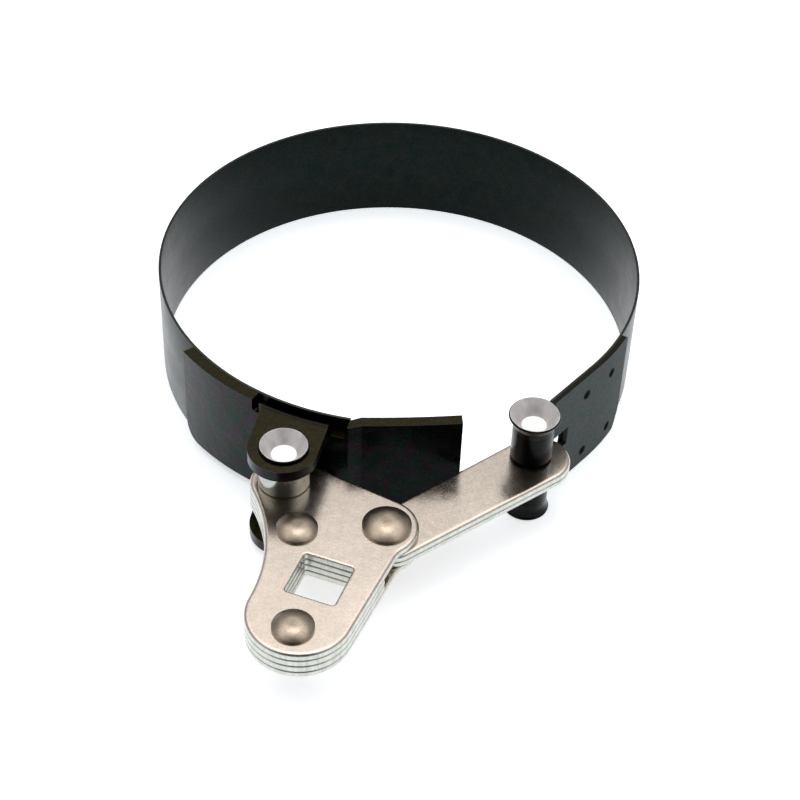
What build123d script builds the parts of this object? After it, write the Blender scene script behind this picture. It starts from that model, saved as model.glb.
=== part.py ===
from build123d import *
import os
from math import asin, cos, degrees, radians, sin, sqrt

# Oil filter band wrench with a square drive head, in millimetres.
# Origin: on the filter's axis at the band's mid height. +Z is up along that axis.
# The head with the square drive is on the -Y side; its pins and rivets stand along Z.

# Band
RING_R = 66.0            # outside of the band
BAND_T = 0.7
BAND_HALF = 15.75        # half the band's height
FLEX_ANGLE = 145.0       # where the two halves of the flexing band meet
BAND_LEFT_END = -99.3    # the band stops where the tongue begins
SEAM = 0.1               # cut between the two halves of the band
LAP_GAP = 0.05           # gap between pieces that lie on each other

# Pins and pivots, plan positions
LEFT_PIN = Vector(-26.6, -75.8)
RIGHT_PIN = Vector(35.6, -61.0)
PIVOT = Vector(-0.5, -90.0)
PIN_R = 3.97
DISH_R = 3.2             # flat bottom of a pin's dished end
RUN = 0.05               # running clearance on a pin

# Left bracket: saddle, two ears and the tongue
SADDLE_T = 3.1
SADDLE_TOP = 15.6
SADDLE_BOTTOM = -13.9
SADDLE_START, SADDLE_END = -142.8, -99.2
SADDLE_CORNER_R = 5.0
TONGUE_ROOT = Vector(-8.0, -64.05)
TONGUE_MID = Vector(4.5, -63.2)
TONGUE_TIP = Vector(17.25, -61.7)
EAR_AT, EAR_R = Vector(-26.8, -76.0), 8.8
EAR_LEAN_LEFT, EAR_LEAN_RIGHT = 8.7, 16.0   # how far the ear's sides lean off Y
EAR_ROOT_LEFT, EAR_ROOT_RIGHT = -119.5, -103.4
BEND_R = 1.2
NOTCH_DEPTH = 3.7
NOTCHES = ((-120.35, 2.2), (-101.42, 4.8))   # angle and width of each notch
FLARE = 2.3              # how far a pin's end flares out

# Right bracket: strap rolled into an eye round the right pin
STRAP_T = 1.35
STRAP_HALF = 16.1
FLAT_ANGLE = -38.9       # the band runs straight on from here
STRAP_ARC = 14.1         # degrees of the strap that hug the ring
BAND_FLAT = 18.0         # straight length at the band's right end
NECK_R = 1.5
WINDOW_START, WINDOW_HALF = 11.0, 2.9
BAND_WINDOW_START = 12.1
KNUCKLE_START, KNUCKLE_HALF = 18.2, 11.8
STRAP_CORNER_R, STRAP_CUT, STRAP_CUT_RISE = 2.0, 2.5, 5.3
DIMPLES = ((3.8, 9.3), (-8.0, 9.0), (2.6, -11.6), (-9.6, -11.6))   # along the strap and up
DIMPLE_R, DIMPLE_DEPTH = 1.7, 0.75
KNUCKLE_R = 5.33         # the right pin's ends, flush with the knuckles
RIGHT_RIM = 16.2

# Head plates
PLATE_T = 2.0
LOBE_PIN_R = 8.6
LOBE_PIVOT, LOBE_PIVOT_R = Vector(-2.2, -89.9), 9.6
LOBE_FRONT, LOBE_FRONT_R = Vector(-20.0, -118.7), 13.1
WAIST_R = 46.0
SIDE_ANGLE = 67.5        # straight edge from the front lobe to the pivot lobe
SIDE_FILLET_R = 7.0
DRIVE_AT, DRIVE_SIDE, DRIVE_TURN = Vector(-15.97, -108.1), 12.8, -19.4
DRIVE_CORNER_R = 0.8
FRONT_RIVET = Vector(-21.2, -123.4)
REAR_RIVET = Vector(-22.3, -92.2)
PLATE_EDGE = 0.25
PLATE_ROLL = 0.9         # rounding of the outermost edges

# Link plates, running between the head's outer plates
LINK_T = 1.94
LINK_PIVOT_END_R, LINK_PIVOT_END_OFF = 7.6, 1.4
LINK_PIN_END_R, LINK_PIN_END_OFF = 8.2, 1.9
LINK_SWEEP_R, LINK_SLOT_SIDE = 10.5, 7.7
SLOT_END, SLOT_END_R = Vector(1.5, -100.8), 5.3   # the link's slot runs on along the head's side
LINK_CLOSED_ANGLE = 81.8     # where the link points in the head when the band is closed
LINK_PIVOT_HOLE_R = 4.85     # oversize: the linkage is left open at this pivot

# Rivets and spacers
RIVET_SHANK_R, RIVET_DOME_R, RIVET_DOME_H = 3.1, 5.1, 2.1
PIVOT_SHANK_R, PIVOT_DOME_R, PIVOT_DOME_H = 3.6, 6.1, 2.5
DOME_RIM = 0.7           # straight height of a dome's rim
SPACER_R = 6.5

os.makedirs("parts", exist_ok=True)


def save(builder, label):
    builder.part.label = label
    export_step(builder.part, f"parts/{label}.step")


def polar(radius, angle):
    return Vector(radius * cos(radians(angle)), radius * sin(radians(angle)))


def arc_between(centre, radius, start, end):
    """Arc about a centre, counter-clockwise from one point to the other."""
    first = Vector(1, 0, 0).get_signed_angle(start - centre, Vector(0, 0, 1))
    last = Vector(1, 0, 0).get_signed_angle(end - centre, Vector(0, 0, 1))
    return CenterArc(centre, radius, first, (last - first) % 360)


def sector(inner_r, outer_r, start, end):
    """Ring sector about the origin."""
    with BuildSketch(mode=Mode.PRIVATE) as shape:
        with BuildLine():
            inner = CenterArc((0, 0), inner_r, start, end - start)
            outer = CenterArc((0, 0), outer_r, start, end - start)
            Line(inner @ 0, outer @ 0)
            Line(inner @ 1, outer @ 1)
        make_face()
    return shape.sketch


def tangent_points(start, start_r, end, end_r):
    """Where a straight edge touches two circles, on the left going from start to end."""
    way = end - start
    normal = way.normalized().rotate(Axis.Z, 90 - degrees(asin((start_r - end_r) / way.length)))
    return start + normal * start_r, end + normal * end_r


# The band, in two halves that meet at its flexing place
seam = degrees(SEAM / 2 / RING_R)
with BuildPart() as band_left:
    with BuildSketch(Plane.XY.offset(-BAND_HALF)):
        add(sector(RING_R - BAND_T, RING_R, FLEX_ANGLE + seam, 360 + BAND_LEFT_END))
    extrude(amount=2 * BAND_HALF)
save(band_left, "band_left")

# In the strap's plane x runs along the straight end and y points out of the ring;
# the side plane stands outside the ring, with x along the strap and z pointing inward
strap_way = polar(1, FLAT_ANGLE - 90)
strap_plane = Plane(origin=(0, 0, 0), x_dir=strap_way, z_dir=(0, 0, 1))
side_plane = Plane(origin=polar(90, FLAT_ANGLE), x_dir=strap_way, z_dir=polar(-1, FLAT_ANGLE))
pin_s = RIGHT_PIN.dot(strap_way)
pin_m = RIGHT_PIN.dot(polar(1, FLAT_ANGLE))

with BuildPart() as band_right:
    with BuildSketch(strap_plane.offset(-BAND_HALF)):
        add(sector(RING_R - BAND_T, RING_R, 90, 90 + FLEX_ANGLE - FLAT_ANGLE - seam))
        with Locations((BAND_FLAT / 2, RING_R - BAND_T / 2)):
            Rectangle(BAND_FLAT, BAND_T)
    extrude(amount=2 * BAND_HALF)
    with BuildSketch(side_plane):
        with Locations((BAND_WINDOW_START + 15, 0)):
            Rectangle(30, 2 * WINDOW_HALF)
    extrude(amount=40, mode=Mode.SUBTRACT)
save(band_right, "band_right")

# Left bracket: a thick saddle on the band with a tongue running on past two bent ears
saddle_in = RING_R + LAP_GAP
saddle_out = saddle_in + SADDLE_T
tongue_out = (TONGUE_TIP - TONGUE_ROOT).normalized().rotate(Axis.Z, -90) * SADDLE_T
ear_span = EAR_ROOT_RIGHT - EAR_ROOT_LEFT
bend_out = BEND_R + SADDLE_T
ear_section = Plane(
    origin=(0, 0, 0), x_dir=polar(1, EAR_ROOT_LEFT), z_dir=polar(1, EAR_ROOT_LEFT - 90)
)

with BuildPart() as left_bracket:
    with BuildSketch(Plane.XY.offset(SADDLE_BOTTOM)):
        add(sector(saddle_in, saddle_out, SADDLE_START, SADDLE_END))
        with BuildLine():
            along = (TONGUE_ROOT, TONGUE_MID, TONGUE_TIP)
            face_in = ThreePointArc(*along)
            face_out = ThreePointArc(*(point + tongue_out for point in along))
            Line(face_in @ 1, face_out @ 1)
            Polyline(face_in @ 0, polar(saddle_in, SADDLE_END), polar(saddle_out, SADDLE_END), face_out @ 0)
        make_face()
    extrude(amount=SADDLE_TOP - SADDLE_BOTTOM)
    far_end = left_bracket.faces().sort_by_distance(polar((saddle_in + saddle_out) / 2, SADDLE_START))[0]
    fillet(far_end.edges().group_by(Axis.Z)[0], radius=SADDLE_CORNER_R)

    # ears, bent out of the saddle at its top and bottom
    for low, edge, up in ((SADDLE_TOP - SADDLE_T, SADDLE_TOP, 1), (SADDLE_BOTTOM, SADDLE_BOTTOM, -1)):
        with BuildSketch(Plane.XY.offset(low)):
            with BuildLine():
                root = CenterArc((0, 0), saddle_in, EAR_ROOT_LEFT, ear_span)
                left_side = EAR_AT + polar(EAR_R, 180 - EAR_LEAN_LEFT)
                right_side = EAR_AT + polar(EAR_R, -EAR_LEAN_RIGHT)
                Line(root @ 0, left_side)
                ThreePointArc(left_side, EAR_AT + polar(EAR_R, -98), right_side)
                Line(right_side, root @ 1)
            make_face()
        extrude(amount=SADDLE_T)
        with BuildSketch(ear_section):
            with BuildLine():
                under = edge - SADDLE_T * up
                RadiusArc((saddle_out, under - BEND_R * up), (saddle_out + BEND_R, under), BEND_R * up)
                Polyline(
                    (saddle_out, under - BEND_R * up), (saddle_out - 0.2, under - BEND_R * up),
                    (saddle_out - 0.2, under + 0.2 * up), (saddle_out + BEND_R, under + 0.2 * up),
                    (saddle_out + BEND_R, under),
                )
            make_face()
        revolve(axis=Axis.Z, revolution_arc=ear_span)
        with BuildSketch(ear_section):
            with BuildLine():
                RadiusArc((saddle_in, edge - bend_out * up), (saddle_in + bend_out, edge), bend_out * up)
                Polyline(
                    (saddle_in, edge - bend_out * up), (saddle_in - 0.5, edge - bend_out * up),
                    (saddle_in - 0.5, edge + 0.5 * up), (saddle_in + bend_out, edge + 0.5 * up),
                    (saddle_in + bend_out, edge),
                )
            make_face()
        revolve(axis=Axis.Z, revolution_arc=ear_span, mode=Mode.SUBTRACT)
        # relief notches beside the ear
        for angle, width in NOTCHES:
            notch_at = polar(saddle_in - 3, angle) + Vector(0, 0, edge)
            with BuildSketch(Plane(origin=notch_at, x_dir=(0, 0, 1), z_dir=polar(1, angle))):
                RectangleRounded(2 * NOTCH_DEPTH, width, radius=1.0)
            extrude(amount=SADDLE_T + 4.5, mode=Mode.SUBTRACT)
        # pin hole, countersunk for the pin's flared end
        with BuildSketch(Plane(origin=(LEFT_PIN.X, LEFT_PIN.Y, 0), x_dir=(1, 0, 0), z_dir=(0, -1, 0))):
            with BuildLine():
                Polyline(
                    (0, under - 3 * up), (PIN_R + RUN, under - 3 * up), (PIN_R + RUN, edge - 2.2 * up),
                    (PIN_R + RUN + 2.2, edge), (PIN_R + RUN + 2.2, edge + up), (0, edge + up), close=True,
                )
            make_face()
        revolve(axis=Axis((LEFT_PIN.X, LEFT_PIN.Y, 0), (0, 0, 1)), mode=Mode.SUBTRACT)
save(left_bracket, "left_bracket")

# Right bracket: one strap, spot welded along the band and rolled into an eye round the pin
leaf_in = RING_R + 2 * LAP_GAP
with BuildPart() as right_bracket:
    with BuildSketch(strap_plane.offset(-STRAP_HALF)) as fold:
        with Locations((pin_s, pin_m)):
            Circle(PIN_R + RUN + STRAP_T)
        add(sector(leaf_in, leaf_in + STRAP_T, 90, 90 + STRAP_ARC))
        with Locations((pin_s / 2, leaf_in + STRAP_T / 2)):
            Rectangle(pin_s, STRAP_T)
        neck = fold.vertices().sort_by_distance((pin_s - 5.2, leaf_in + STRAP_T))[0]
        fillet(neck, radius=NECK_R)
        with Locations((pin_s, pin_m)):
            Circle(PIN_R + RUN, mode=Mode.SUBTRACT)
    extrude(amount=2 * STRAP_HALF)
    with BuildSketch(side_plane):
        for side in (-1, 1):
            with Locations((KNUCKLE_START + 15, side * (KNUCKLE_HALF + 5))):
                Rectangle(30, 10)
        with Locations((WINDOW_START + 15, 0)):
            Rectangle(30, 2 * WINDOW_HALF)
    extrude(amount=40, mode=Mode.SUBTRACT)
    # spot weld dimples
    for along_strap, up in DIMPLES:
        m = leaf_in + STRAP_T + DIMPLE_R - DIMPLE_DEPTH
        if along_strap > 0:
            at = polar(m, FLAT_ANGLE) + strap_way * along_strap
        else:
            at = polar(m, FLAT_ANGLE - degrees(along_strap / m))
        with Locations(at + Vector(0, 0, up)):
            Sphere(DIMPLE_R, mode=Mode.SUBTRACT)
    weld_end = right_bracket.faces().sort_by_distance(polar(leaf_in + STRAP_T / 2, FLAT_ANGLE + STRAP_ARC))[0]
    low_corner = weld_end.edges().group_by(Axis.Z)[0]
    chamfer(low_corner, length=STRAP_CUT_RISE, length2=STRAP_CUT, reference=weld_end)
    weld_end = right_bracket.faces().sort_by_distance(polar(leaf_in + STRAP_T / 2, FLAT_ANGLE + STRAP_ARC))[0]
    fillet(weld_end.edges().group_by(Axis.Z)[-1], radius=STRAP_CORNER_R)
save(right_bracket, "right_bracket")


def dished_pin(at, ends):
    """Pin with dished ends; an end is neck radius, its start, its end, rim radius, rim height, dish depth."""
    with BuildPart() as pin:
        with BuildSketch(Plane(origin=(at.X, at.Y, 0), x_dir=(1, 0, 0), z_dir=(0, -1, 0))):
            with BuildLine():
                for up, (neck_r, neck_start, neck_end, rim_r, rim, depth) in zip((1, -1), ends):
                    if neck_r > PIN_R:
                        Polyline((PIN_R, neck_start), (neck_r, neck_start), (neck_r, neck_end))
                    flare_ways = ((0.12, up), (1, 1.6 * up))
                    flare = Spline((neck_r, neck_end), (rim_r, rim - 0.5 * up), tangents=flare_ways)
                    lip = ThreePointArc(flare @ 1, (rim_r - 0.02, rim - 0.16 * up), (rim_r - 0.4, rim))
                    dish_ways = ((-1, -1.1 * up), (-0.5, -up))
                    dish = Spline(lip @ 1, (DISH_R, rim - depth * up), tangents=dish_ways)
                    Line(dish @ 1, (0, rim - depth * up))
                Line((PIN_R, ends[0][1]), (PIN_R, ends[1][1]))
                Line((0, ends[0][4] - ends[0][5]), (0, ends[1][4] + ends[1][5]))
            make_face()
        revolve(axis=Axis((at.X, at.Y, 0), (0, 0, 1)))
    return pin


left_pin = dished_pin(
    LEFT_PIN,
    (
        (PIN_R, SADDLE_TOP - FLARE, SADDLE_TOP - FLARE, 6.3, SADDLE_TOP + 0.8, 3.2),
        (PIN_R, SADDLE_BOTTOM + FLARE, SADDLE_BOTTOM + FLARE, 6.3, SADDLE_BOTTOM - 0.8, 3.2),
    ),
)
save(left_pin, "left_pin")
right_pin = dished_pin(
    RIGHT_PIN,
    (
        (KNUCKLE_R, KNUCKLE_HALF + LAP_GAP, 13.4, 6.6, RIGHT_RIM, 3.6),
        (KNUCKLE_R, -KNUCKLE_HALF - LAP_GAP, -13.6, 6.0, -RIGHT_RIM, 3.6),
    ),
)
save(right_pin, "right_pin")

# Spacers between the head and the ears
for label, low, high in (
    ("spacer_upper", 2 * PLATE_T + LAP_GAP, SADDLE_TOP - SADDLE_T - LAP_GAP),
    ("spacer_lower", SADDLE_BOTTOM + SADDLE_T + LAP_GAP, -2 * PLATE_T - LAP_GAP),
):
    with BuildPart() as spacer:
        with BuildSketch(Plane.XY.offset(low)):
            with Locations(LEFT_PIN):
                Circle(SPACER_R)
                Circle(PIN_R + RUN, mode=Mode.SUBTRACT)
        extrude(amount=high - low)
        rims = spacer.edges().filter_by(GeomType.CIRCLE).filter_by(lambda edge: edge.radius > SPACER_R - 0.1)
        chamfer(rims, length=0.35)
    save(spacer, label)

# Head: four stacked plates with one outline; the inner two are cut back for the link
with BuildSketch() as outline:
    with BuildLine():
        pin_back, pivot_back = tangent_points(LEFT_PIN, LOBE_PIN_R, LOBE_PIVOT, LOBE_PIVOT_R)
        touch = LOBE_FRONT + polar(LOBE_FRONT_R, SIDE_ANGLE - 90)
        reach = LOBE_PIVOT - touch
        run = reach.dot(polar(1, SIDE_ANGLE))
        side_end = touch + polar(run - sqrt(LOBE_PIVOT_R**2 - reach.length**2 + run**2), SIDE_ANGLE)
        low_r, high_r = LOBE_FRONT_R + WAIST_R, LOBE_PIN_R + WAIST_R
        spine = LEFT_PIN - LOBE_FRONT
        foot = (low_r**2 - high_r**2 + spine.length**2) / (2 * spine.length)
        square_on = spine.normalized().rotate(Axis.Z, 90)
        waist = LOBE_FRONT + spine.normalized() * foot + square_on * sqrt(low_r**2 - foot**2)
        waist_low = waist + (LOBE_FRONT - waist).normalized() * WAIST_R
        waist_high = waist + (LEFT_PIN - waist).normalized() * WAIST_R
        Line(pin_back, pivot_back)
        arc_between(LOBE_PIVOT, LOBE_PIVOT_R, side_end, pivot_back)
        Line(touch, side_end)
        arc_between(LOBE_FRONT, LOBE_FRONT_R, waist_low, touch)
        arc_between(waist, WAIST_R, waist_low, waist_high)
        arc_between(LEFT_PIN, LOBE_PIN_R, pin_back, waist_high)
    make_face()
    fillet(outline.vertices().sort_by_distance(side_end)[0], radius=SIDE_FILLET_R)
    with Locations(LEFT_PIN):
        Circle(PIN_R + RUN, mode=Mode.SUBTRACT)
    with Locations(FRONT_RIVET, REAR_RIVET):
        Circle(RIVET_SHANK_R + RUN, mode=Mode.SUBTRACT)
    with Locations(Location(DRIVE_AT, DRIVE_TURN)):
        RectangleRounded(DRIVE_SIDE, DRIVE_SIDE, radius=DRIVE_CORNER_R, mode=Mode.SUBTRACT)


def ease_rims(piece, rolled):
    """Rounds a plate's outermost face (rolled: 1 top, -1 bottom, 0 neither) and chamfers its other rims."""
    faces = piece.faces().sort_by(Axis.Z)
    for side, face in ((-1, faces[0]), (1, faces[-1])):
        square_holes = [wire.edges() for wire in face.inner_wires() if len(wire.edges()) > 4]
        if side == rolled:
            fillet(face.outer_wire().edges(), radius=PLATE_ROLL)
        else:
            chamfer(face.outer_wire().edges(), length=PLATE_EDGE)
        for edges in square_holes:
            chamfer(edges, length=PLATE_EDGE)


def head_plate(label, low, inner, rolled):
    with BuildPart() as plate:
        with BuildSketch(Plane.XY.offset(low)):
            add(outline.sketch)
            with Locations(PIVOT):
                Circle(LINK_SWEEP_R if inner else PIVOT_SHANK_R + RUN, mode=Mode.SUBTRACT)
            if inner:
                with Locations(SLOT_END):
                    Circle(SLOT_END_R, mode=Mode.SUBTRACT)
                with Locations(Location(PIVOT, LINK_CLOSED_ANGLE) * Location((0, LINK_SLOT_SIDE))):
                    Rectangle(20, 17.7, align=(Align.MIN, Align.MAX), mode=Mode.SUBTRACT)
        extrude(amount=PLATE_T)
        ease_rims(plate, rolled)
    save(plate, label)


head_plate("head_plate_top", PLATE_T, False, 1)
head_plate("head_plate_upper_inner", 0, True, 0)
head_plate("head_plate_lower_inner", -PLATE_T, True, 0)
head_plate("head_plate_bottom", -2 * PLATE_T, False, -1)

# Link: two plates side by side, from the head's pivot to the right pin
link_way = (RIGHT_PIN - PIVOT).normalized()
link_side = link_way.rotate(Axis.Z, -90)
pivot_end = PIVOT + link_side * LINK_PIVOT_END_OFF
pin_end = RIGHT_PIN + link_way + link_side * LINK_PIN_END_OFF
for label, low, rolled in (("link_plate_upper", 0.01, 1), ("link_plate_lower", -0.01 - LINK_T, -1)):
    with BuildPart() as link:
        with BuildSketch(Plane.XY.offset(low)):
            with BuildLine():
                back = tangent_points(pivot_end, LINK_PIVOT_END_R, pin_end, LINK_PIN_END_R)
                front = tangent_points(pin_end, LINK_PIN_END_R, pivot_end, LINK_PIVOT_END_R)
                Line(*back)
                Line(*front)
                arc_between(pivot_end, LINK_PIVOT_END_R, back[0], front[1])
                arc_between(pin_end, LINK_PIN_END_R, front[0], back[1])
            make_face()
            with Locations(PIVOT):
                Circle(LINK_PIVOT_HOLE_R, mode=Mode.SUBTRACT)
            with Locations(RIGHT_PIN):
                Circle(PIN_R + RUN, mode=Mode.SUBTRACT)
        extrude(amount=LINK_T)
        ease_rims(link, rolled)
    save(link, label)

# Rivets with a low dome on both ends
for label, at, shank_r, dome_r, dome_h in (
    ("pivot_rivet", PIVOT, PIVOT_SHANK_R, PIVOT_DOME_R, PIVOT_DOME_H),
    ("front_rivet", FRONT_RIVET, RIVET_SHANK_R, RIVET_DOME_R, RIVET_DOME_H),
    ("rear_rivet", REAR_RIVET, RIVET_SHANK_R, RIVET_DOME_R, RIVET_DOME_H),
):
    with BuildPart() as rivet:
        with BuildSketch(Plane(origin=(at.X, at.Y, 0), x_dir=(1, 0, 0), z_dir=(0, -1, 0))):
            with BuildLine():
                seat = 2 * PLATE_T
                for up in (1, -1):
                    rim, top = (dome_r, (seat + DOME_RIM) * up), (1.2, (seat + dome_h) * up)
                    TangentArc(top, rim, tangent=(1, 0))
                    Line(top, (0, (seat + dome_h) * up))
                    Polyline(rim, (dome_r, seat * up), (shank_r, seat * up))
                Line((shank_r, -seat), (shank_r, seat))
                Line((0, -seat - dome_h), (0, seat + dome_h))
            make_face()
        revolve(axis=Axis((at.X, at.Y, 0), (0, 0, 1)))
    save(rivet, label)
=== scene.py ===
import math

import bmesh
import bpy
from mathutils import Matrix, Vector


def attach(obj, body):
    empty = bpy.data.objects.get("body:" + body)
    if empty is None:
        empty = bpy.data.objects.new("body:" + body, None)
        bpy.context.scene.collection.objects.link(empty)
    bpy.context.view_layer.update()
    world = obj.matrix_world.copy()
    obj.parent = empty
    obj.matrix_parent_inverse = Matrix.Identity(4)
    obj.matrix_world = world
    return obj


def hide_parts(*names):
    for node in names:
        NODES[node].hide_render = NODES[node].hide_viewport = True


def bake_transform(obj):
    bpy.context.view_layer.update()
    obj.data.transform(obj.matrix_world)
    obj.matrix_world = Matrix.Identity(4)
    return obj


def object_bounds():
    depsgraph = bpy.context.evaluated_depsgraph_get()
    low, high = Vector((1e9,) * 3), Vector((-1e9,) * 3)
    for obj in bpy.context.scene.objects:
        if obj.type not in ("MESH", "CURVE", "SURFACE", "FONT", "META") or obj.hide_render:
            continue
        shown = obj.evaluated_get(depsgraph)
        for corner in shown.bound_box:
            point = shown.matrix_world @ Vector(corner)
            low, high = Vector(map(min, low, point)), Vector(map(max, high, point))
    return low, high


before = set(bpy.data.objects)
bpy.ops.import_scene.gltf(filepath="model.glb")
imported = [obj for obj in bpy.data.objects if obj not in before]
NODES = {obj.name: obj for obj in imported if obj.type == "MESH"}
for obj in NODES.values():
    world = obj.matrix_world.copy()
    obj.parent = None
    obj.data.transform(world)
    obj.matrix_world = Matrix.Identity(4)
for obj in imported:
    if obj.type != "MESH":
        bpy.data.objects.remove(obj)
cad_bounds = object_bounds()
MM = 0.001

# Dimensions as in the part, in millimetres and degrees
BAND_IN, BAND_OUT, BAND_HALF = 65.3, 66.0, 15.75
FLEX_ANGLE = 145.0
LEFT_END, FLAT_ANGLE, FLAT_LENGTH = 260.7, -38.9, 18.0
WINDOW_START, WINDOW_HALF = 12.1, 2.9
DIMPLES = ((3.8, 9.3), (-8.0, 9.0), (2.6, -11.6), (-9.6, -11.6))   # along the strap and up
STRAP_OUT = 67.45
DISH_R = 3.2
LEFT_PIN, RIGHT_PIN = (-26.6, -75.8), (35.6, -61.0)

# Looks only, in millimetres and degrees
FLEX_HALF = 45.0         # degrees of band each side of the flex, the zone where the real band bends
BAND_EDGE = 0.14         # rounding of the band's edges
TONGUE_START = -15.0     # painted shade on the side faces from here along X, towards the tongue
PIT_IN, PIT_OUT = 1.2, 1.6             # painted shade in a spot-weld dimple: its dark centre, and where it fades out
KNUCKLE_IN, KNUCKLE_OUT = 5.6, 6.6     # the strap's eye round the pin, painted darker as shade, and where that fades out

# Looks, stage and camera, in metres
LIGHT_EDGE_WIDTH = 0.00022      # width of the lighter band along edges
SHOULDER_R = 0.0007      # soft shoulders of sheared plate
FLOOR_HALF = 3.0
FLOOR_GLOW = 0.6         # the floor is lit from below, as on a light table
ROOM_LIGHT = 1.9
CAMERA_AT = (0.0, -0.4067, 0.3382)
CAMERA_TURN = (47.28, -1.83, 1.44)     # degrees: tilt up from straight down, roll, pan
CAMERA_LENS, CAMERA_SENSOR = 84.6, 36.0    # millimetres


# ---------------------------------------------------------------- shaders

def set_stops(ramp, stops):
    """Fills a colour ramp; stops are (position, grey or colour)."""
    elements = ramp.color_ramp.elements
    while len(elements) < len(stops):
        elements.new(0.5)
    for element, (position, tone) in zip(elements, stops):
        element.position = position
        element.color = (tone, tone, tone, 1) if isinstance(tone, (int, float)) else (*tone, 1)


class Shader:
    """A node material built step by step; colours are linear."""

    def __init__(self, name):
        self.material = bpy.data.materials.new(name)
        self.material.use_nodes = True
        self.tree = self.material.node_tree
        self.bsdf = self.tree.nodes["Principled BSDF"]
        self.coords = self.tree.nodes.new("ShaderNodeTexCoord")

    def node(self, kind, **settings):
        made = self.tree.nodes.new(kind)
        for key, value in settings.items():
            setattr(made, key, value)
        return made

    def link(self, source, target):
        self.tree.links.new(source, target)

    def put(self, socket, value):
        if isinstance(value, bpy.types.NodeSocket):
            self.link(value, socket)
        else:
            socket.default_value = value

    def axis(self, letter, source="Object"):
        """One component of the position, or of the normal."""
        split = self.node("ShaderNodeSeparateXYZ")
        self.link(self.coords.outputs[source], split.inputs[0])
        return split.outputs[letter]

    def stretched(self, scale):
        mapping = self.node("ShaderNodeMapping")
        mapping.inputs["Scale"].default_value = scale
        self.link(self.coords.outputs["Object"], mapping.inputs["Vector"])
        return mapping.outputs["Vector"]

    def noise(self, scale, detail=3.0, roughness=0.55, vector=None, distortion=0.0):
        texture = self.node("ShaderNodeTexNoise")
        self.link(vector or self.coords.outputs["Object"], texture.inputs["Vector"])
        texture.inputs["Scale"].default_value = scale
        texture.inputs["Detail"].default_value = detail
        texture.inputs["Roughness"].default_value = roughness
        texture.inputs["Distortion"].default_value = distortion
        return texture.outputs["Fac"]

    def ramp(self, value, *stops):
        ramp = self.node("ShaderNodeValToRGB")
        set_stops(ramp, stops)
        self.link(value, ramp.inputs["Fac"])
        return ramp.outputs["Color"]

    def mix(self, factor, a, b, blend="MIX"):
        mix = self.node("ShaderNodeMix", data_type="RGBA", blend_type=blend)
        self.put(mix.inputs["Factor"], factor)
        self.put(mix.inputs["A"], a if isinstance(a, bpy.types.NodeSocket) else (*a, 1))
        self.put(mix.inputs["B"], b if isinstance(b, bpy.types.NodeSocket) else (*b, 1))
        return mix.outputs["Result"]

    def math(self, operation, a, b=0.0, c=0.0, clamp=False):
        step = self.node("ShaderNodeMath", operation=operation, use_clamp=clamp)
        for socket, value in zip(step.inputs, (a, b, c)):
            self.put(socket, value)
        return step.outputs[0]

    def bump(self, height, strength, distance, under=None):
        bump = self.node("ShaderNodeBump")
        bump.inputs["Strength"].default_value = strength
        bump.inputs["Distance"].default_value = distance
        self.link(height, bump.inputs["Height"])
        if under:
            self.link(under, bump.inputs["Normal"])
        return bump.outputs["Normal"]

    def edges(self, radius, low=0.02, high=0.2):
        """0 on flat faces, 1 near an edge."""
        bevel = self.node("ShaderNodeBevel", samples=6)
        bevel.inputs["Radius"].default_value = radius
        normal = self.node("ShaderNodeNewGeometry")
        dot = self.node("ShaderNodeVectorMath", operation="DOT_PRODUCT")
        self.link(bevel.outputs["Normal"], dot.inputs[0])
        self.link(normal.outputs["Normal"], dot.inputs[1])
        off = self.math("SUBTRACT", 1.0, dot.outputs["Value"])
        return self.ramp(off, (low, 0.0), (high, 1.0))

    def facing_up(self, low=0.35, high=0.75):
        """1 on faces that look up or down, 0 on the sides."""
        return self.ramp(self.math("ABSOLUTE", self.axis("Z", "Normal")), (low, 0.0), (high, 1.0))

    def around(self, centre):
        """Distance from an upright axis, and how far a face looks away from it: 1 away, -1 towards."""
        offset = self.node("ShaderNodeVectorMath", operation="SUBTRACT")
        self.link(self.coords.outputs["Object"], offset.inputs[0])
        offset.inputs[1].default_value = (centre[0] * MM, centre[1] * MM, 0)
        flat = self.node("ShaderNodeVectorMath", operation="MULTIPLY")
        self.link(offset.outputs[0], flat.inputs[0])
        flat.inputs[1].default_value = (1, 1, 0)
        length = self.node("ShaderNodeVectorMath", operation="LENGTH")
        self.link(flat.outputs[0], length.inputs[0])
        unit = self.node("ShaderNodeVectorMath", operation="NORMALIZE")
        self.link(flat.outputs[0], unit.inputs[0])
        dot = self.node("ShaderNodeVectorMath", operation="DOT_PRODUCT")
        self.link(unit.outputs[0], dot.inputs[0])
        self.link(self.coords.outputs["Normal"], dot.inputs[1])
        return length.outputs["Value"], dot.outputs["Value"]

    def near(self, points, inner, outer):
        """1 within the inner distance of any of the points, 0 beyond the outer one."""
        nearest = None
        for point in points:
            gap = self.node("ShaderNodeVectorMath", operation="DISTANCE")
            self.link(self.coords.outputs["Object"], gap.inputs[0])
            gap.inputs[1].default_value = point
            value = gap.outputs["Value"]
            nearest = value if nearest is None else self.math("MINIMUM", nearest, value)
        return self.math("MULTIPLY", self.math("SUBTRACT", outer, nearest), 1 / (outer - inner), clamp=True)

    def mix_value(self, factor, a, b):
        mix = self.node("ShaderNodeMix", data_type="FLOAT")
        self.put(mix.inputs["Factor"], factor)
        self.put(mix.inputs["A"], a)
        self.put(mix.inputs["B"], b)
        return mix.outputs["Result"]

    def finish(self, colour, roughness, normal=None, metallic=0.0, specular=0.5):
        self.put(self.bsdf.inputs["Base Color"], colour)
        self.put(self.bsdf.inputs["Roughness"], roughness)
        self.put(self.bsdf.inputs["Metallic"], metallic)
        self.bsdf.inputs["Specular IOR Level"].default_value = specular
        if normal:
            self.link(normal, self.bsdf.inputs["Normal"])
        return self.material


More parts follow.
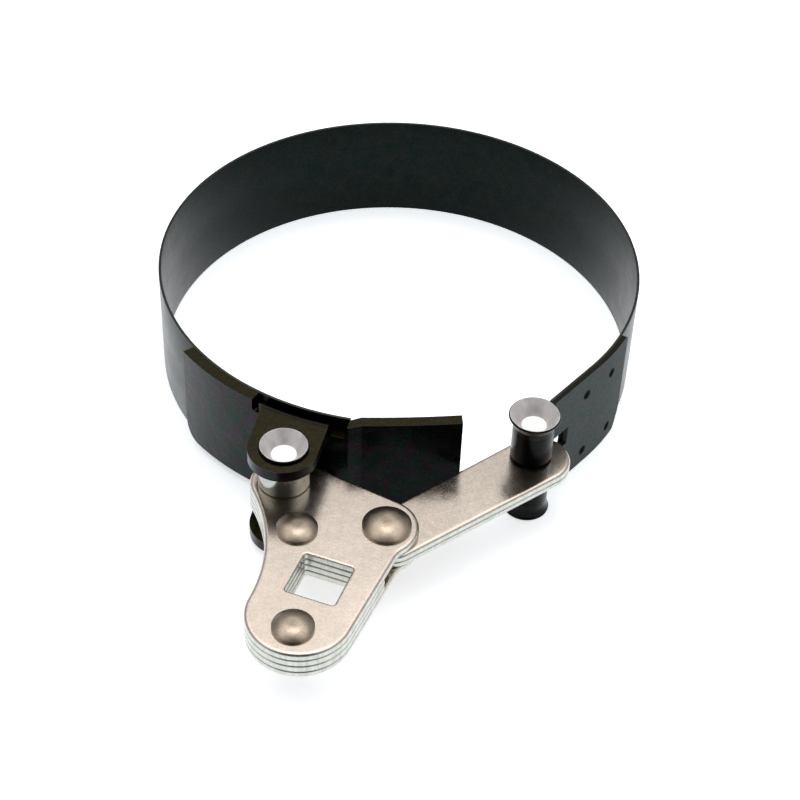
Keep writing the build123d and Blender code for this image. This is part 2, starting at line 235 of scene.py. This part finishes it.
def oxide_layers(s, dark, light, tint_a, tint_b, rough, mottle, top=None, uneven=0.2):
    """Colour, roughness and bump of black oxide: mottled, slightly tinted, with a fine grain."""
    cloud = s.noise(170, 5, 0.65, distortion=0.3)
    grain = s.noise(1500, 3, 0.6)
    tint = s.noise(330, 3, 0.6, distortion=0.5)
    colour = s.mix(s.ramp(cloud, (0.36, 0.0), (0.66, 1.0)), dark, light)
    tinted = s.mix(s.ramp(tint, (0.40, 0.0), (0.60, 1.0)), tint_a, tint_b)
    colour = s.mix(mottle, colour, tinted)
    if top:
        colour = s.mix(s.facing_up(0.6, 0.9), colour, top)
    speck = s.ramp(s.noise(2000, 2, 0.5), (0.3, 0.75), (0.7, 1.3))
    colour = s.mix(1.0, colour, speck, "MULTIPLY")
    streak = s.noise(60, 3, 0.6, vector=s.stretched((1, 1, 14)))
    roughness = s.math("ADD", s.math("MULTIPLY", cloud, 0.2), rough - 0.13)
    roughness = s.math("ADD", roughness, s.math("MULTIPLY", streak, 0.10))
    normal = s.bump(grain, 0.2, 0.00002)
    normal = s.bump(cloud, uneven, 0.0002, normal)
    return colour, roughness, normal


def oxide(name, dark, light, tint_a, tint_b, rough, mottle=0.4, top=None, shaded_pits=(), rim=0.0, knuckle=None,
          shade_from_x=None, metallic=1.0, specular=0.5, uneven=0.2):
    """Black oxide on steel; shaded_pits are dark points of painted shade in the hollows of spot-weld dimples,
    rim is the height of the edges that are made lighter, and from shade_from_x onward along X the side faces
    are darker, painted shade."""
    s = Shader(name)
    colour, roughness, normal = oxide_layers(s, dark, light, tint_a, tint_b, rough, mottle, top, uneven)
    # the edges, found from rim or by a bevel, are made lighter
    if rim:
        level = s.math("DIVIDE", s.math("ABSOLUTE", s.axis("Z")), rim)
        lighter_edge = s.ramp(level, (0.985, 0.0), (0.996, 1.0))
    else:
        lighter_edge = s.edges(LIGHT_EDGE_WIDTH)
    colour = s.mix(s.math("MULTIPLY", lighter_edge, 0.25), colour, (0.16, 0.15, 0.13))
    # painted shade: the strap's eye round the pin is coloured near black and glossy, a shaded copy of the
    # strap's grey oxide
    if knuckle:
        distance, _ = s.around(knuckle)
        centimetres = s.math("DIVIDE", distance, 10 * MM)
        near_pin = s.ramp(centimetres, (KNUCKLE_IN / 10, 1.0), (KNUCKLE_OUT / 10, 0.0))
        colour = s.mix(near_pin, colour, (0.008, 0.008, 0.008))
        roughness = s.mix_value(near_pin, roughness, 0.24)
        metallic = near_pin
    # painted shade: side faces past the given X are darkened, a shaded copy of the same oxide
    if shade_from_x is not None:
        beyond = s.math("MULTIPLY", s.math("SUBTRACT", s.axis("X"), shade_from_x * MM), 120.0, clamp=True)
        side = s.math("SUBTRACT", beyond, s.facing_up(0.6, 0.9), clamp=True)
        colour = s.mix(side, colour, (0.38, 0.40, 0.42), "MULTIPLY")
    # painted shade: dark points in the hollows of the dimples
    if shaded_pits:
        colour = s.mix(s.near(shaded_pits, PIT_IN * MM, PIT_OUT * MM), colour, (0.005, 0.004, 0.004))
    return s.finish(colour, roughness, normal, metallic=metallic, specular=specular)


def dished_pin(name, centre):
    """Black oxide outside; pressed matte grey in the dished ends, with painted light at their flat bottoms,
    coloured near white.
    """
    s = Shader(name)
    black, rough, normal = oxide_layers(
        s, (0.008, 0.008, 0.008), (0.014, 0.014, 0.014), (0.009, 0.011, 0.010), (0.014, 0.012, 0.011),
        rough=0.24, mottle=0.4)
    distance, away = s.around(centre)
    dish = s.ramp(s.math("MULTIPLY_ADD", away, 0.5, 0.5), (0.50, 1.0), (0.56, 0.0))
    bottom = s.math("MULTIPLY", s.facing_up(0.8, 0.95), s.ramp(s.math("DIVIDE", distance, DISH_R * MM * 2),
                                                               (0.48, 1.0), (0.56, 0.0)))
    wipe = s.noise(500, 3, 0.6, vector=s.stretched((1, 1, 0.2)))
    cone = s.mix(s.ramp(wipe, (0.3, 0.0), (0.7, 1.0)), (0.62, 0.59, 0.58), (0.80, 0.77, 0.76))
    # painted light: the flat bottom of each dish is coloured near white, standing for the light seen down the
    # bore
    bright = s.mix(bottom, cone, (0.93, 0.91, 0.88))
    colour = s.mix(dish, black, bright)
    pressed = s.mix_value(bottom, s.math("ADD", s.math("MULTIPLY", wipe, 0.14), 0.50), 0.33)
    return s.finish(colour, s.mix_value(dish, rough, pressed), normal, metallic=1.0)


def plated(name):
    """Zinc plate: warm satin faces with a fine speckle, cooler sheared edges, soft shoulders."""
    s = Shader(name)
    up = s.facing_up()
    fine = s.noise(1700, 2, 0.6)
    coarse = s.noise(420, 4, 0.6)
    cloud = s.noise(60, 3, 0.5)
    face = s.mix(s.ramp(cloud, (0.3, 0.0), (0.7, 1.0)), (0.585, 0.50, 0.425), (0.655, 0.565, 0.485))
    face = s.mix(1.0, face, s.ramp(fine, (0.25, 0.88), (0.75, 1.10)), "MULTIPLY")
    face = s.mix(1.0, face, s.ramp(coarse, (0.3, 0.93), (0.7, 1.05)), "MULTIPLY")
    shear = s.noise(900, 3, 0.6, vector=s.stretched((1, 1, 0.12)))
    side = s.mix(s.ramp(shear, (0.3, 0.0), (0.7, 1.0)), (0.44, 0.47, 0.43), (0.60, 0.62, 0.57))
    colour = s.mix(up, side, face)
    roughness = s.math("ADD", s.math("MULTIPLY", fine, 0.10), 0.12)
    roughness = s.math("ADD", roughness, s.math("MULTIPLY", coarse, 0.10))
    shoulder = s.node("ShaderNodeBevel", samples=6)
    shoulder.inputs["Radius"].default_value = SHOULDER_R
    normal = s.bump(fine, 0.14, 0.00003, shoulder.outputs["Normal"])
    normal = s.bump(coarse, 0.16, 0.00005, normal)
    return s.finish(colour, roughness, normal, metallic=1.0)


def bare(name, low, high, rough, spread=0.12, speck=0.1):
    """Bare or lightly plated steel, satin."""
    s = Shader(name)
    fine = s.noise(2200, 3, 0.6)
    cloud = s.noise(260, 3, 0.55)
    colour = s.mix(s.ramp(cloud, (0.3, 0.0), (0.7, 1.0)), low, high)
    colour = s.mix(1.0, colour, s.ramp(fine, (0.3, 1.0 - speck), (0.7, 1.0 + speck)), "MULTIPLY")
    roughness = s.math("ADD", s.math("MULTIPLY", cloud, spread), rough - spread / 2)
    normal = s.bump(fine, 0.15, 0.00002)
    return s.finish(colour, roughness, normal, metallic=1.0)


def strap_point(along, up):
    """A point on the strap's outer face, in metres: along its straight part, or back along the arc."""
    turn = math.radians(FLAT_ANGLE) - min(along, 0.0) / STRAP_OUT
    out, way = Vector((math.cos(turn), math.sin(turn), 0)), Vector((math.sin(turn), -math.cos(turn), 0))
    return (out * STRAP_OUT + way * max(along, 0.0) + Vector((0, 0, up))) * MM


BAND = oxide("band_oxide", (0.005, 0.009, 0.008), (0.010, 0.013, 0.012), (0.006, 0.011, 0.010),
             (0.012, 0.012, 0.011), 0.27, rim=BAND_HALF * MM, uneven=0.05)
SADDLE = oxide("saddle_oxide", (0.002, 0.003, 0.003), (0.017, 0.021, 0.018), (0.004, 0.028, 0.015),
               (0.031, 0.013, 0.026), 0.25, mottle=0.62, top=(0.028, 0.024, 0.012), uneven=0.7,
               shade_from_x=TONGUE_START)
STRAP = oxide("strap_oxide", (0.045, 0.055, 0.055), (0.066, 0.074, 0.073), (0.037, 0.064, 0.059),
              (0.072, 0.064, 0.064), 0.6, top=(0.012, 0.011, 0.007), metallic=0.0, specular=0.08,
              shaded_pits=[strap_point(*place) for place in DIMPLES], knuckle=RIGHT_PIN)
LEFT_PIN_STEEL = dished_pin("left_pin_steel", LEFT_PIN)
RIGHT_PIN_STEEL = dished_pin("right_pin_steel", RIGHT_PIN)
PLATE = plated("zinc_plate")
RIVET = bare("rivet_steel", (0.30, 0.245, 0.19), (0.42, 0.345, 0.275), 0.33, speck=0.16)
SPACER = bare("spacer_steel", (0.32, 0.335, 0.30), (0.44, 0.455, 0.41), 0.15)


def dress(node, material):
    shown = NODES[node]
    shown.data.materials.clear()
    shown.data.materials.append(material)


for node, material, slot in (
    ("left_bracket", SADDLE, "saddle"), ("right_bracket", STRAP, "strap"),
    ("left_pin", LEFT_PIN_STEEL, "pin"), ("right_pin", RIGHT_PIN_STEEL, "pin"),
    ("spacer_upper", SPACER, "spacer"), ("spacer_lower", SPACER, "spacer"),
    ("head_plate_top", PLATE, "plate"), ("head_plate_upper_inner", PLATE, "plate"),
    ("head_plate_lower_inner", PLATE, "plate"), ("head_plate_bottom", PLATE, "plate"),
    ("link_plate_upper", PLATE, "plate"), ("link_plate_lower", PLATE, "plate"),
    ("pivot_rivet", RIVET, "rivet"), ("front_rivet", RIVET, "rivet"), ("rear_rivet", RIVET, "rivet"),
):
    dress(node, material)


# ---------------------------------------------------------------- band

def band_path(start, end, flat=0.0):
    """Plan points and outward normals along the band's middle, from angle start to end, then flat on."""
    middle = (BAND_IN + BAND_OUT) / 2
    steps = max(2, round(abs(end - start)))
    path = []
    for i in [0, 0.01, *range(1, steps), steps - 0.01, steps]:   # short end steps keep the shading true there
        angle = math.radians(start + (end - start) * i / steps)
        out = Vector((math.cos(angle), math.sin(angle), 0))
        path.append((out * middle, out))
    if flat:
        point, out = path[-1]
        way = Vector((out.y, -out.x, 0))
        path += [(point + way * along, out) for along in (WINDOW_START / 2, WINDOW_START, flat)]
    return path


def band_piece(name, path, real_start=False, real_end=False, window=False):
    """The strip with its edges rounded; an end that isn't real meets the next piece flush."""
    half_t = (BAND_OUT - BAND_IN) / 2
    levels = (-BAND_HALF, -WINDOW_HALF, WINDOW_HALF, BAND_HALF)
    mesh = bpy.data.meshes.new(name)
    bm = bmesh.new()
    skins = [[[bm.verts.new((point + out * side * half_t + Vector((0, 0, z))) * MM) for z in levels]
              for point, out in path] for side in (-1, 1)]
    used = {}
    for i in range(len(path) - 1):
        for j in range(3):
            if window and j == 1 and i == len(path) - 2:
                continue
            corners = ((i, j), (i + 1, j), (i + 1, j + 1), (i, j + 1))
            for skin in skins:
                bm.faces.new([skin[a][b] for a, b in corners])
            for a, b in zip(corners, corners[1:] + corners[:1]):
                pair = (min(a, b), max(a, b))
                used[pair] = used.get(pair, 0) + 1
    for (a, b), times in used.items():
        if times == 1:
            bm.faces.new([skins[side][i][j] for side, (i, j) in ((0, a), (0, b), (1, b), (1, a))])
    bmesh.ops.recalc_face_normals(bm, faces=bm.faces)
    flush = {corner for skin in skins for end, real in ((0, real_start), (-1, real_end)) if not real
             for corner in skin[end]}
    sharp = [edge for edge in bm.edges if edge.calc_face_angle() > math.radians(60)
             and not (edge.verts[0] in flush and edge.verts[1] in flush)]
    bmesh.ops.bevel(bm, geom=sharp, offset=BAND_EDGE * MM, segments=3, profile=0.5, affect="EDGES")
    bm.to_mesh(mesh)
    bm.free()
    mesh.shade_smooth()
    mesh.set_sharp_from_angle(angle=math.radians(40))
    piece = bpy.data.objects.new(name, mesh)
    bpy.context.scene.collection.objects.link(piece)
    mesh.materials.append(BAND)
    return piece


left = band_piece("band_strip_left", band_path(FLEX_ANGLE + FLEX_HALF, LEFT_END), real_end=True)
flex = band_piece("band_strip_flex", band_path(FLEX_ANGLE + FLEX_HALF, FLEX_ANGLE - FLEX_HALF))
right = band_piece("band_strip_right", band_path(FLEX_ANGLE - FLEX_HALF, FLAT_ANGLE, FLAT_LENGTH),
                   real_end=True, window=True)
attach(left, "left_half")
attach(right, "right_half")
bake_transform(flex)
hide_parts("band_left")
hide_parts("band_right")
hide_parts("band_right")


# ---------------------------------------------------------------- stage, camera, light

floor_mesh = bpy.data.meshes.new("floor")
floor_corners = [(x * FLOOR_HALF, y * FLOOR_HALF, cad_bounds[0][2])
                 for x, y in ((-1, -1), (1, -1), (1, 1), (-1, 1))]
floor_mesh.from_pydata(floor_corners, [], [(0, 1, 2, 3)])
floor = bpy.data.objects.new("floor", floor_mesh)
bpy.context.scene.collection.objects.link(floor)
paper = Shader("floor_paper")
grain = paper.ramp(paper.noise(6, 3), (0.3, 0.0), (0.7, 1.0))
tone = paper.mix(grain, (0.83, 0.87, 0.92), (0.86, 0.89, 0.93))
paper.bsdf.inputs["Emission Color"].default_value = (0.965, 0.985, 1.0, 1)
paper.bsdf.inputs["Emission Strength"].default_value = FLOOR_GLOW
floor_mesh.materials.append(paper.finish(tone, 0.6))

camera_data = bpy.data.cameras.new("camera")
camera_data.lens, camera_data.sensor_width = CAMERA_LENS, CAMERA_SENSOR
camera = bpy.data.objects.new("camera", camera_data)
bpy.context.scene.collection.objects.link(camera)
camera.location = CAMERA_AT
camera.rotation_euler = [math.radians(angle) for angle in CAMERA_TURN]
bpy.context.scene.camera = camera


softbox_data = bpy.data.lights.new("softbox_top", "AREA")
softbox_data.shape, softbox_data.size, softbox_data.size_y = "RECTANGLE", 0.42, 0.36
softbox_data.energy, softbox_data.color = 1.5, (1.0, 0.97, 0.93)
softbox = bpy.data.objects.new("softbox_top", softbox_data)
softbox.location = (0.0, 0.12, 1.0)
softbox.rotation_euler = (Vector((0, -0.06, 0)) - softbox.location).to_track_quat("-Z", "Y").to_euler()
bpy.context.scene.collection.objects.link(softbox)

# The room: bright overhead, dimmer towards the horizon, dark in front where the photographer stands
world = bpy.data.worlds.new("studio")
bpy.context.scene.world = world
world.use_nodes = True
sky = world.node_tree
background = sky.nodes["Background"]
direction = sky.nodes.new("ShaderNodeTexCoord").outputs["Generated"]


def sky_ramp(value, stops):
    ramp = sky.nodes.new("ShaderNodeValToRGB")
    set_stops(ramp, stops)
    sky.links.new(value, ramp.inputs["Fac"])
    return ramp.outputs["Color"]


height = sky.nodes.new("ShaderNodeSeparateXYZ")
sky.links.new(direction, height.inputs[0])
ceiling = sky_ramp(height.outputs["Z"], ((0.0, (0.25, 0.26, 0.27)), (0.60, (0.22, 0.225, 0.23)),
                                         (0.70, (0.44, 0.45, 0.46)), (0.80, (1.0, 1.0, 1.0))))
towards = sky.nodes.new("ShaderNodeVectorMath")
towards.operation = "DOT_PRODUCT"
towards.inputs[1].default_value = (0.0, -0.82, 0.57)
sky.links.new(direction, towards.inputs[0])
front = sky_ramp(towards.outputs["Value"], ((0.60, (1.0, 1.0, 1.0)), (0.90, (0.05, 0.05, 0.05))))
light = sky.nodes.new("ShaderNodeMix")
light.data_type, light.blend_type = "RGBA", "MULTIPLY"
light.inputs["Factor"].default_value = 1.0
sky.links.new(ceiling, light.inputs["A"])
sky.links.new(front, light.inputs["B"])
sky.links.new(light.outputs["Result"], background.inputs["Color"])
background.inputs["Strength"].default_value = ROOM_LIGHT

bpy.context.scene.view_settings.view_transform = "Standard"
